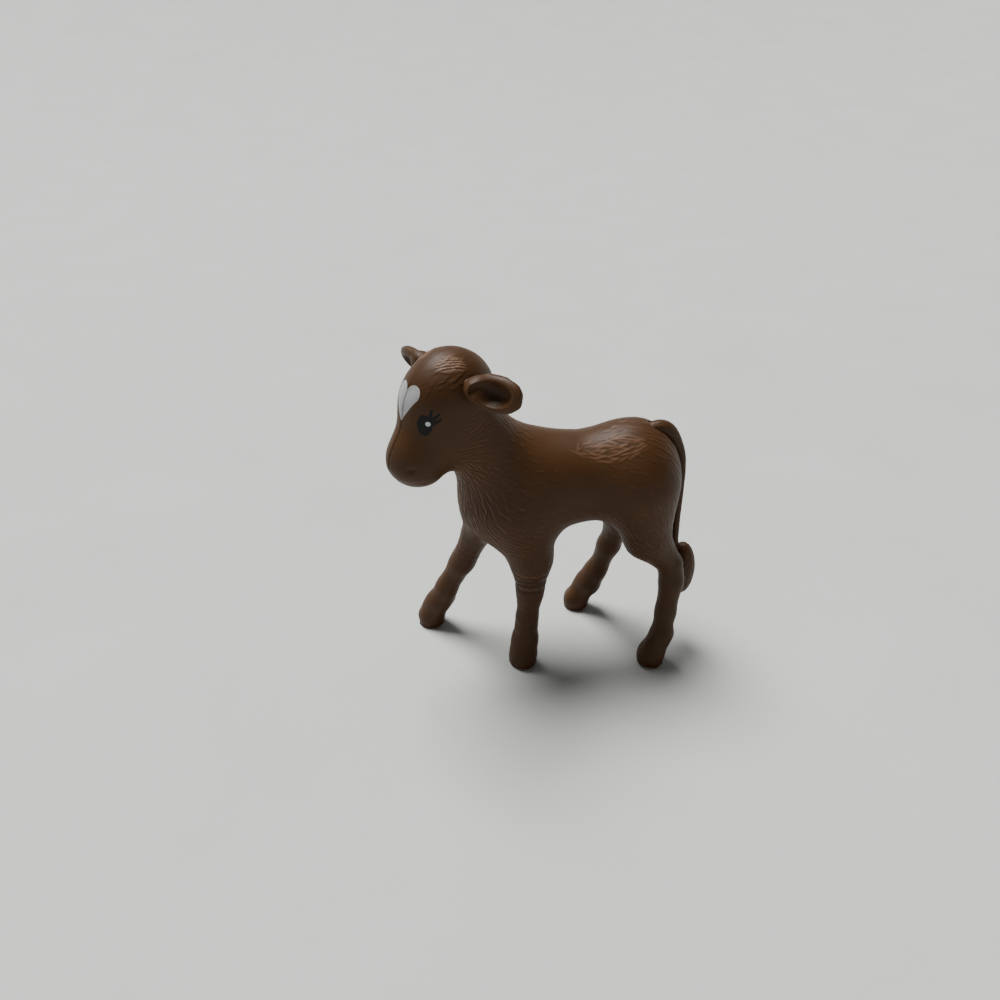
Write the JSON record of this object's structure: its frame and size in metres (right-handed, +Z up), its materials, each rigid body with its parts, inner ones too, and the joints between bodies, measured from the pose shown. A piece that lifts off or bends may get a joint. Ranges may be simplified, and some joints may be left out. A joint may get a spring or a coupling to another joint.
{
  "type": "toy calf figure",
  "caption": "Standing toy calf with its head turned to its left, two hollow body halves, separate ears and a hanging tail with a tuft.",
  "frame": {"origin": "centre of the bounding box's bottom face, on the plane of the four soles", "axes": "+Z up; the calf faces -X, its tail is towards +X and its left side is -Y"},
  "size_m": [0.0648, 0.0308, 0.0726],
  "materials": {
    "brown_plastic": "reddish brown, satin, with moulded hair relief; a white heart, eyes and lashes are printed on the head"
  },
  "bodies": {
    "root": {"left_shell": "brown_plastic", "right_shell": "brown_plastic", "left_ear": "brown_plastic", "right_ear": "brown_plastic", "tail": "brown_plastic"}
  },
  "joints": []
}
